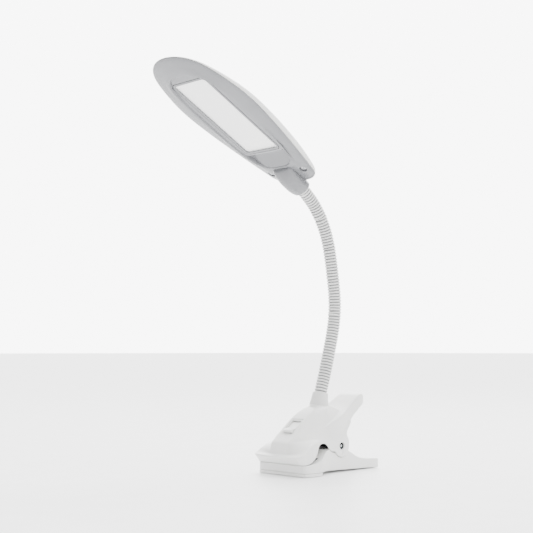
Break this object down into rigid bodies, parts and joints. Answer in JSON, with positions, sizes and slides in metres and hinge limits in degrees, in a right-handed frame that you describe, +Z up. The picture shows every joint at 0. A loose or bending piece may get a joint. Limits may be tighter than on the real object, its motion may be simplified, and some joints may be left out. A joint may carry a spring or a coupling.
{
  "type": "clip-on reading lamp",
  "caption": "Clip-on reading lamp: flat oval lamp head with a rectangular opal window, corrugated gooseneck and a sprung desk clip with a rocker switch.",
  "frame": {"origin": "centre of the foot's sole, under the clip's nose, on the surface that the lamp stands on", "axes": "+Z up, the clip's nose and the lamp head point along -Y, the clip's pin and the lamp's width lie along X; the clip is shut and the neck stands in the rest curve"},
  "size_m": [0.0956, 0.2698, 0.3839],
  "materials": {
    "white_shell": "satin gloss moulded ABS",
    "silver_cover": "glossy silver-grey moulded ABS",
    "neck_sleeve": "matt corrugated PVC sleeve",
    "grip_pad": "matt silicone rubber",
    "opal_panel": "matt opal acrylic",
    "black_nylon": "moulded nylon",
    "green_board": "solder mask",
    "white_board": "white solder mask",
    "cell_sleeve": "shrink sleeve over a steel can",
    "zinc_steel": "zinc plated",
    "spring_steel": "plain spring steel"
  },
  "bodies": {
    "lower_jaw": {"lower_jaw": "white_shell", "foot_pad": "white_shell", "lower_grip_pad": "grip_pad", "pivot_pin": "zinc_steel", "pin_retainer_left": "spring_steel", "pin_retainer_right": "spring_steel", "spring_bush": "black_nylon", "torsion_spring": "spring_steel"},
    "upper_jaw": {"upper_jaw_housing": "white_shell", "housing_floor": "white_shell", "upper_grip_pad": "grip_pad", "floor_screw_1": "zinc_steel", "floor_screw_2": "zinc_steel", "floor_screw_3": "zinc_steel", "floor_screw_4": "zinc_steel", "battery_cell": "cell_sleeve", "cell_cradle": "black_nylon", "charge_board": "green_board", "charge_socket": "zinc_steel", "switch_body": "white_shell", "neck_collar": "neck_sleeve", "neck_nut": "zinc_steel", "neck_segment_1": "neck_sleeve"},
    "rocker": {"switch_rocker": "white_shell"},
    "neck_2": {"neck_segment_2": "neck_sleeve"},
    "neck_3": {"neck_segment_3": "neck_sleeve"},
    "neck_4": {"neck_segment_4": "neck_sleeve"},
    "neck_5": {"neck_segment_5": "neck_sleeve"},
    "neck_6": {"neck_segment_6": "neck_sleeve"},
    "neck_7": {"neck_segment_7": "neck_sleeve"},
    "head": {"neck_segment_8": "neck_sleeve", "neck_ferrule": "zinc_steel", "neck_saddle": "silver_cover", "head_top_shell": "white_shell", "head_cover": "silver_cover", "window_frame": "silver_cover", "diffuser_panel": "opal_panel", "light_board": "white_board", "head_screw_left": "zinc_steel", "head_screw_right": "zinc_steel"}
  },
  "joints": [
    {"name": "clip_hinge", "type": "hinge", "parent": "lower_jaw", "child": "upper_jaw", "pos_m": [0, 0.0515, 0.0255], "axis": [-1, 0, 0], "range_deg": [0, 32], "stiffness_Nm_per_rad": 0.8, "springref_deg": -68.75},
    {"name": "rocker_switch", "type": "hinge", "parent": "upper_jaw", "child": "rocker", "pos_m": [0, 0.00447, 0.04307], "axis": [1, 0, 0], "range_deg": [0, 16]},
    {"name": "bend_1", "type": "hinge", "parent": "upper_jaw", "child": "neck_2", "pos_m": [0, 0.04404, 0.08465], "axis": [1, 0, 0], "range_deg": [-20, 20]},
    {"name": "sway_2", "type": "hinge", "parent": "neck_2", "child": "neck_3", "pos_m": [0, 0.05383, 0.11692], "axis": [0, 0.9621, -0.2727], "range_deg": [-20, 20]},
    {"name": "bend_3", "type": "hinge", "parent": "neck_3", "child": "neck_4", "pos_m": [0, 0.06171, 0.14968], "axis": [1, 0, 0], "range_deg": [-20, 20]},
    {"name": "sway_4", "type": "hinge", "parent": "neck_4", "child": "neck_5", "pos_m": [0, 0.06191, 0.1833], "axis": [0, 0.9923, 0.1237], "range_deg": [-20, 20]},
    {"name": "bend_5", "type": "hinge", "parent": "neck_5", "child": "neck_6", "pos_m": [0, 0.05657, 0.2166], "axis": [1, 0, 0], "range_deg": [-20, 20]},
    {"name": "sway_6", "type": "hinge", "parent": "neck_6", "child": "neck_7", "pos_m": [0, 0.04588, 0.24844], "axis": [0, 0.8824, 0.4705], "range_deg": [-20, 20]},
    {"name": "bend_7", "type": "hinge", "parent": "neck_7", "child": "head", "pos_m": [0, 0.02501, 0.27467], "axis": [1, 0, 0], "range_deg": [-20, 20]}
  ]
}
